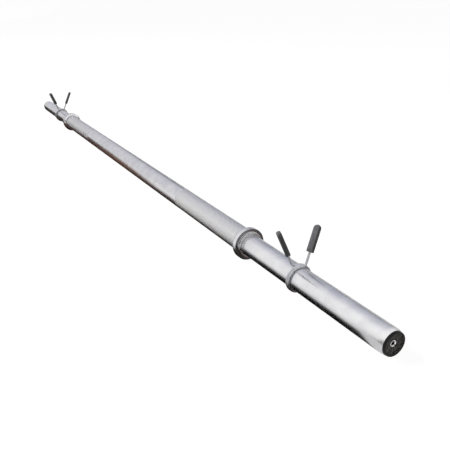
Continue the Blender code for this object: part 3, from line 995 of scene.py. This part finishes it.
def clip_grip_frame(place, handle):
    """Axes of a grip: Y runs up the handle from the grip's base, X across its wide side."""
    leg_angle = HANDLE_ANGLES[place]
    foot = HANDLE_REACH - CLIP_GRIP_LENGTH * math.cos(HANDLE_TILT)
    base = tilted(handle, foot, leg_angle)
    along = (tilted(handle, HANDLE_REACH, leg_angle) - base).normalized()
    tangent = Vector((0.0, math.cos(leg_angle), -math.sin(leg_angle)))
    turn = handle * CLIP_GRIP_TURN
    wide = math.cos(turn) * Vector((1.0, 0.0, 0.0)) + math.sin(turn) * tangent
    wide = (wide - wide.dot(along) * along).normalized()
    axes = Matrix((wide, along, wide.cross(along))).transposed().to_4x4()
    return Matrix.Translation(base) @ axes


def tongue_section(half_width, half_thickness, rounding, height):
    """Rounded rectangle across the tongue, at one height up it."""
    rounding = min(rounding, half_width, half_thickness)
    flat_width = half_width - rounding
    flat_thickness = half_thickness - rounding
    points = []
    for i in range(SECTION_POINTS):
        angle = 2.0 * math.pi * (i + 0.5) / SECTION_POINTS
        across = math.copysign(flat_width, math.cos(angle)) + rounding * math.cos(angle)
        deep = math.copysign(flat_thickness, math.sin(angle)) + rounding * math.sin(angle)
        points.append(Vector((across, height, deep)))
    return points


def bore_section(radius, height):
    """Circle across the tongue's bore, in step with the points of its outside."""
    turns = [2.0 * math.pi * (i + 0.5) / SECTION_POINTS for i in range(SECTION_POINTS)]
    return [Vector((radius * math.cos(a), height, radius * math.sin(a))) for a in turns]


def tongue_rings():
    """Outlines of a tongue from the bore's end out over its base and up to its tip."""
    half_width = CLIP_GRIP_WIDTH / 2
    half_thickness = CLIP_GRIP_THICKNESS / 2
    bore_end = CLIP_GRIP_LENGTH - CLIP_GRIP_TIP_WALL
    edge = CLIP_GRIP_EDGE
    rings = [
        [Vector((0.0, bore_end, 0.0))],
        bore_section(CLIP_GRIP_BORE, bore_end),
        bore_section(CLIP_GRIP_BORE, edge),
        bore_section(CLIP_GRIP_BORE + edge, 0.0),
    ]
    # The base's edge is rounded by three outlines on a quarter circle
    for inset, height in ((edge, 0.0), (0.3 * edge, 0.3 * edge), (0.0, edge)):
        rings.append(
            tongue_section(
                half_width - inset, half_thickness - inset, CLIP_GRIP_ROUNDING, height
            )
        )
    straight = CLIP_GRIP_LENGTH - half_width
    rings.append(tongue_section(half_width, half_thickness, CLIP_GRIP_ROUNDING, straight))
    for step in range(1, TIP_STEPS):
        angle = math.radians(90.0) * step / TIP_STEPS
        width = half_width * math.cos(angle)
        thickness = half_thickness * math.cos(angle) ** TIP_FULLNESS
        height = straight + half_width * math.sin(angle)
        rings.append(tongue_section(width, thickness, CLIP_GRIP_ROUNDING, height))
    rings.append([Vector((0.0, CLIP_GRIP_LENGTH, 0.0))])
    return rings


VINYL = soft_vinyl()
for side_name, side in SIDES.items():
    for place, handle in HANDLES.items():
        to_clip = Matrix.Translation((CLIP_PLACE[side_name], 0.0, 0.0))
        to_clip = to_clip @ clip_grip_frame(place, handle)
        rings = [[to_clip @ point for point in one] for one in tongue_rings()]
        name = "vinyl_grip_" + place + "_" + side_name
        tongue = add_piece(name, [loft(rings)], VINYL, side)
        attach(tongue, place + "_lever_" + side_name)
        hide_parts("clip_" + place + "_grip_" + side_name)


# Studio floor: one wide white sheet, which shows white to the eye and in the chrome and
# keeps the bar's soft shadow.

FLOOR_HALF_WIDTH = 20.0
FLOOR_RIM_REACH = 24.0
FLOOR_RIM_HEIGHT = 1.3


def add_sheet(name, rectangles, material):
    """Sheet of nested rectangles: (low corner, high corner, height) from the inside out."""
    points = []
    for low, high, height in rectangles:
        for x, y in ((0, 0), (1, 0), (1, 1), (0, 1)):
            points.append(((low[0], high[0])[x], (low[1], high[1])[y], height))
    faces = [(0, 1, 2, 3)]
    for first in range(4, len(points), 4):
        for i in range(4):
            j = (i + 1) % 4
            faces.append((first - 4 + i, first + i, first + j, first - 4 + j))
    mesh = bpy.data.meshes.new(name)
    mesh.from_pydata(points, [], faces)
    mesh.materials.append(material)
    sheet = new_object(name, mesh)
    return sheet


def white_floor():
    """Matt paper that catches the shadow, with a white glow for the eye and for gloss."""
    material, tree = new_material("white_studio_floor")
    painted = add(tree, "ShaderNodeBsdfDiffuse", {"Color": srgb("707070")})
    glow = add(tree, "ShaderNodeEmission", {"Color": srgb("FFFFFF"), "Strength": 0.93})
    both = add(tree, "ShaderNodeAddShader", {0: painted, 1: glow})
    rays = add(tree, "ShaderNodeLightPath").outputs
    seen = add(
        tree,
        "ShaderNodeMath",
        {0: rays["Is Camera Ray"], 1: rays["Is Glossy Ray"]},
        operation="MAXIMUM",
    )
    shown = add(
        tree, "ShaderNodeMath", {0: seen, 1: rays["Is Transmission Ray"]}, operation="MAXIMUM"
    )
    mixed = add(tree, "ShaderNodeMixShader", {"Fac": shown, 1: painted, 2: both})
    add(tree, "ShaderNodeOutputMaterial", {"Surface": mixed})
    # The glow is a colour for the eye and for reflections, and not a lamp
    material.cycles.emission_sampling = "NONE"
    return material


floor_edges = ((FLOOR_HALF_WIDTH, 0.0), (FLOOR_RIM_REACH, FLOOR_RIM_HEIGHT))
floor_outlines = [((-reach, -reach), (reach, reach), height) for reach, height in floor_edges]
add_sheet("studio_floor", floor_outlines, white_floor())


# Dark card: a sheet laid along the bar like a photographer's flag, which paints a reflection
# into the chrome: its dark edges and brown underside. Only reflections see it, as a glow of
# its own colour. It is wider and browner at the far end, stops short of the near end, and
# fades out to a grey haze in front.

CARD_HEIGHT = 0.0004
CARD_LOW = (-8.0, -6.0)
CARD_HIGH = (1.26, 0.60)
CARD_END_FROM = 1.182
CARD_END_TO = 1.200
CARD_END_HAZE = 0.6
CARD_BACK_FADE = 0.30
CARD_FULL_TO = 0.050
CARD_WIDENS_FROM = 0.15
CARD_WIDENS_TO = -1.50
CARD_WIDEST = 6.0
CARD_CURVE_LENGTH = 20.0
CARD_CURVE = ((0.05, 0.0), (0.078, 0.38), (0.14, 0.74), (0.3, 0.8), (0.6, 0.9))
CARD_HAZE_FROM = -0.5
CARD_HAZE_TO = -1.9
CARD_CLEAREST = 0.5
CARD_PATCH_SLANT = 0.62
CARD_PATCH_FROM = 1.17
CARD_PATCH_TO = 1.23
CARD_PATCH_FRONT_FROM = 0.10
CARD_PATCH_FRONT_TO = 0.30
CARD_BEHIND_FROM = 0.016
CARD_BEHIND_TO = 0.004
CARD_UNDER_FROM = 0.03
CARD_UNDER_TO = 0.07
CARD_UNDER_STRENGTH = 0.3
CARD_TINT_REACH = 1.2


def card_cover(tree, along, across, forward):
    """How clear the card is at each place: 0 where it is whole, 1 where it is gone."""
    full_to = add(
        tree,
        "ShaderNodeMapRange",
        {
            0: along,
            1: CARD_WIDENS_FROM,
            2: CARD_WIDENS_TO,
            3: CARD_FULL_TO,
            4: CARD_FULL_TO * CARD_WIDEST,
        },
    )
    widths = add(tree, "ShaderNodeMath", {0: forward, 1: full_to}, operation="DIVIDE")
    share = add(tree, "ShaderNodeMath", {0: widths, 1: CARD_CURVE_LENGTH}, operation="DIVIDE")
    front_fade = add(tree, "ShaderNodeFloatCurve", {"Value": share})
    curve = front_fade.mapping.curves[0]
    for point, spot in zip(curve.points, ((0.0, 0.0), (1.0, 1.0))):
        point.location = spot
    for spot in CARD_CURVE:
        curve.points.new(*spot)
    front_fade.mapping.update()
    back_fade = add(
        tree,
        "ShaderNodeMapRange",
        {0: across, 1: CARD_BACK_FADE, 2: CARD_HIGH[1]},
        interpolation_type="SMOOTHSTEP",
    )
    # The end is cut on the slant, so that the chrome shows it square to the bar
    in_front = add(tree, "ShaderNodeMath", {0: forward, 1: 0.0}, operation="MAXIMUM")
    slanted = add(tree, "ShaderNodeMath", {0: along, 1: in_front}, operation="ADD")
    end_fade = add(
        tree,
        "ShaderNodeMapRange",
        {0: slanted, 1: CARD_END_FROM, 2: CARD_END_TO, 4: CARD_END_HAZE},
        interpolation_type="SMOOTHSTEP",
    )
    sides = add(tree, "ShaderNodeMath", {0: front_fade, 1: back_fade}, operation="MAXIMUM")
    edges = add(tree, "ShaderNodeMath", {0: sides, 1: end_fade}, operation="MAXIMUM")
    clearest = add(
        tree,
        "ShaderNodeMapRange",
        {0: along, 1: CARD_HAZE_FROM, 2: CARD_HAZE_TO, 3: 1.0, 4: CARD_CLEAREST},
    )
    # A second dark patch, a painted reflection, lies out in front of the near end, where the mouth's
    # curve shows it
    slant = add(
        tree,
        "ShaderNodeMath",
        {0: forward, 1: CARD_PATCH_SLANT, 2: along},
        operation="MULTIPLY_ADD",
    )
    past_end = add(tree, "ShaderNodeMapRange", {0: slant, 1: CARD_PATCH_FROM, 2: CARD_PATCH_TO})
    far_out = add(
        tree,
        "ShaderNodeMapRange",
        {0: forward, 1: CARD_PATCH_FRONT_FROM, 2: CARD_PATCH_FRONT_TO},
    )
    patch = add(tree, "ShaderNodeMath", {0: past_end, 1: far_out}, operation="MULTIPLY")
    around = add(tree, "ShaderNodeMath", {0: 1.0, 1: patch}, operation="SUBTRACT")
    most = add(tree, "ShaderNodeMath", {0: clearest, 1: around}, operation="MINIMUM")
    return add(tree, "ShaderNodeMath", {0: edges, 1: most}, operation="MULTIPLY")


def dark_card():
    """Sheet that glows in its own colour as a painted reflection, and is clear where it fades."""
    material, tree = new_material("painted_reflection_card")
    place = add(tree, "ShaderNodeTexCoord").outputs["Object"]
    parts = add(tree, "ShaderNodeSeparateXYZ", {"Vector": place}).outputs
    along = parts["X"]
    forward = add(tree, "ShaderNodeMath", {0: parts["Y"], 1: -1.0}, operation="MULTIPLY")
    from_near_end = add(
        tree, "ShaderNodeMapRange", {0: along, 1: CARD_TINT_REACH, 2: -CARD_TINT_REACH}
    )
    # The card is black near the camera and brown far away, pale grey behind the bar, and
    # dimmed right in front of it as a painted shadow of the bar
    lengthwise = add(
        tree,
        "ShaderNodeValToRGB",
        {"Fac": from_near_end},
        stops={
            0.0: "4C4B55",
            0.01: "0C0B0A",
            0.15: "0C0B0A",
            0.36: "42352F",
            0.58: "6E4D3F",
            0.69: "523B33",
            0.96: "332723",
        },
    )
    behind = add(tree, "ShaderNodeMapRange", {0: forward, 1: CARD_BEHIND_FROM, 2: CARD_BEHIND_TO})
    tint = add(
        tree,
        "ShaderNodeMix",
        {"Factor": behind, 6: lengthwise, 7: srgb("736A67")},
        data_type="RGBA",
    )
    # Right in front of the bar the glow is dimmed, as a painted shadow of the bar
    painted_bar_shadow = add(
        tree,
        "ShaderNodeMapRange",
        {0: forward, 1: CARD_UNDER_FROM, 2: CARD_UNDER_TO, 3: CARD_UNDER_STRENGTH},
    )
    under = add(tree, "ShaderNodeMath", {0: painted_bar_shadow, 1: behind}, operation="MAXIMUM")
    reflected_glow = add(tree, "ShaderNodeEmission", {"Color": tint, "Strength": under})
    clear = add(tree, "ShaderNodeBsdfTransparent")
    cover = card_cover(tree, along, parts["Y"], forward)
    mixed = add(tree, "ShaderNodeMixShader", {"Fac": cover, 1: reflected_glow, 2: clear})
    add(tree, "ShaderNodeOutputMaterial", {"Surface": mixed})
    material.cycles.emission_sampling = "NONE"
    return material


card = add_sheet("dark_card", [(CARD_LOW, CARD_HIGH, CARD_HEIGHT)], dark_card())
card.visible_camera = False
card.visible_diffuse = False
card.visible_shadow = False


# Light: a plain studio, white from the camera's side and falling off to a cool grey behind
# the bar. One large softbox gives the light its direction.

# Places on the walls are given as the part of the way one looks that runs along the bar,
# and for the doorway's top as the part that runs upwards
FROM_FRONT = Vector((0.0, 1.0, -0.25)).normalized()
FAR_WALL_FROM = -0.70
FAR_WALL_TO = -0.90
NEAR_CEILING_FROM = -0.53
NEAR_CEILING_TO = -0.42
DARK_WALL_FROM = 0.60
DARK_WALL_TO = 0.90
DARK_WALL_STRENGTH = 0.12
DOOR_FROM = -0.46
DOOR_TO = -0.34
DOOR_FADES_FROM = 0.35
DOOR_FADES_TO = 0.20
DOOR_DARKNESS = 0.9
SHARE_ON_DULL = 0.25
SOFTBOX_PLACE = Vector((-1.6, -4.0, 3.4))
SOFTBOX_AIM = Vector((0.1, 0.0, 0.0))
SOFTBOX_SIZE = 4.0
SOFTBOX_WATTS = 380.0


def room_colour(tree, way):
    """Colour of the room's walls and ceiling by the way one looks."""
    backward = add(tree, "ShaderNodeVectorMath", {0: way, 1: FROM_FRONT}, operation="DOT_PRODUCT")
    share = add(tree, "ShaderNodeMapRange", {0: backward, 1: -1.0, 2: 1.0})
    near = add(
        tree,
        "ShaderNodeValToRGB",
        {"Fac": share},
        stops={
            0.0: "F4F4F3",
            0.14: "FFFFFE",
            0.25: "FFFFFF",
            0.40: "DEDDE6",
            0.58: "BDBEC9",
            0.74: "B0B3BF",
            0.86: "74777F",
            1.0: "55565B",
        },
    )
    far = add(
        tree,
        "ShaderNodeValToRGB",
        {"Fac": share},
        stops={
            0.20: "CBCBCE",
            0.35: "CECDD3",
            0.44: "D2D1D8",
            0.55: "C9C8D0",
            0.63: "C4C3CC",
            0.65: "88878E",
            0.67: "66666C",
            0.74: "525258",
        },
    )
    # Towards the bar's far end the room is an even grey, which darkens behind the bar
    lengthwise = add(tree, "ShaderNodeSeparateXYZ", {"Vector": way}).outputs["X"]
    far_wall = add(tree, "ShaderNodeMapRange", {0: lengthwise, 1: FAR_WALL_FROM, 2: FAR_WALL_TO})
    walls = add(tree, "ShaderNodeMix", {"Factor": far_wall, 6: near, 7: far}, data_type="RGBA")
    # Towards the near end all is white, which the curve of the sleeve's mouth shows
    ceiling = add(
        tree, "ShaderNodeMapRange", {0: lengthwise, 1: NEAR_CEILING_FROM, 2: NEAR_CEILING_TO}
    )
    return add(
        tree,
        "ShaderNodeMix",
        {"Factor": ceiling, 6: walls, 7: srgb("FFFFFF")},
        data_type="RGBA",
    )


def room_strength(tree, way):
    """Strength of the room's light: less to the right, and in a low doorway in front."""
    parts = add(tree, "ShaderNodeSeparateXYZ", {"Vector": way}).outputs
    right = add(
        tree,
        "ShaderNodeMapRange",
        {0: parts["X"], 1: DARK_WALL_FROM, 2: DARK_WALL_TO, 3: 1.0, 4: DARK_WALL_STRENGTH},
    )
    door_side = add(tree, "ShaderNodeMapRange", {0: parts["X"], 1: DOOR_FROM, 2: DOOR_TO})
    door_top = add(
        tree,
        "ShaderNodeMapRange",
        {0: parts["Z"], 1: DOOR_FADES_FROM, 2: DOOR_FADES_TO, 4: DOOR_DARKNESS},
    )
    door = add(tree, "ShaderNodeMath", {0: door_side, 1: door_top}, operation="MULTIPLY")
    open_wall = add(tree, "ShaderNodeMath", {0: 1.0, 1: door}, operation="SUBTRACT")
    return add(tree, "ShaderNodeMath", {0: right, 1: open_wall}, operation="MULTIPLY")


def studio_world():
    """The room, which lights dull surfaces less, because the softbox shapes those."""
    world = bpy.data.worlds.new("studio")
    world.use_nodes = True
    tree = world.node_tree
    tree.nodes.clear()
    way = add(tree, "ShaderNodeTexCoord").outputs["Generated"]
    rays = add(tree, "ShaderNodeLightPath").outputs
    lit = add(
        tree,
        "ShaderNodeMapRange",
        {0: rays["Is Diffuse Ray"], 1: 0.0, 2: 1.0, 3: 1.0, 4: SHARE_ON_DULL},
    )
    shown = add(tree, "ShaderNodeMath", {0: room_strength(tree, way), 1: lit}, operation="MULTIPLY")
    room = add(tree, "ShaderNodeBackground", {"Color": room_colour(tree, way), "Strength": shown})
    # Where the floor ends, the eye sees plain white paper
    paper = add(tree, "ShaderNodeBackground", {"Color": srgb("FFFFFF"), "Strength": 1.0})
    seen = add(tree, "ShaderNodeMixShader", {"Fac": rays["Is Camera Ray"], 1: room, 2: paper})
    add(tree, "ShaderNodeOutputWorld", {"Surface": seen})
    return world


bpy.context.scene.world = studio_world()

lamp = bpy.data.lights.new("softbox", "AREA")
lamp.shape = "SQUARE"
lamp.size = SOFTBOX_SIZE
lamp.energy = SOFTBOX_WATTS
softbox = new_object("softbox", lamp)
softbox.location = SOFTBOX_PLACE
softbox.rotation_euler = (SOFTBOX_AIM - SOFTBOX_PLACE).to_track_quat("-Z", "Y").to_euler()
# The chrome already shows the bright room and would clip to white with the lamp in it
softbox.visible_glossy = False


# Camera: at the photograph's place. Its lens, place and turn were found by fitting the
# bar's rings and edges to their outlines in the picture.

camera_data = bpy.data.cameras.new("camera")
camera_data.sensor_width = 36.0
camera_data.lens = 44.37
camera = new_object("camera", camera_data)
camera.location = (1.7479, -0.6112, 0.5613)
camera.rotation_euler = (math.radians(67.598), 0.0, math.radians(60.832))
bpy.context.scene.camera = camera

bpy.context.scene.view_settings.view_transform = "Standard"
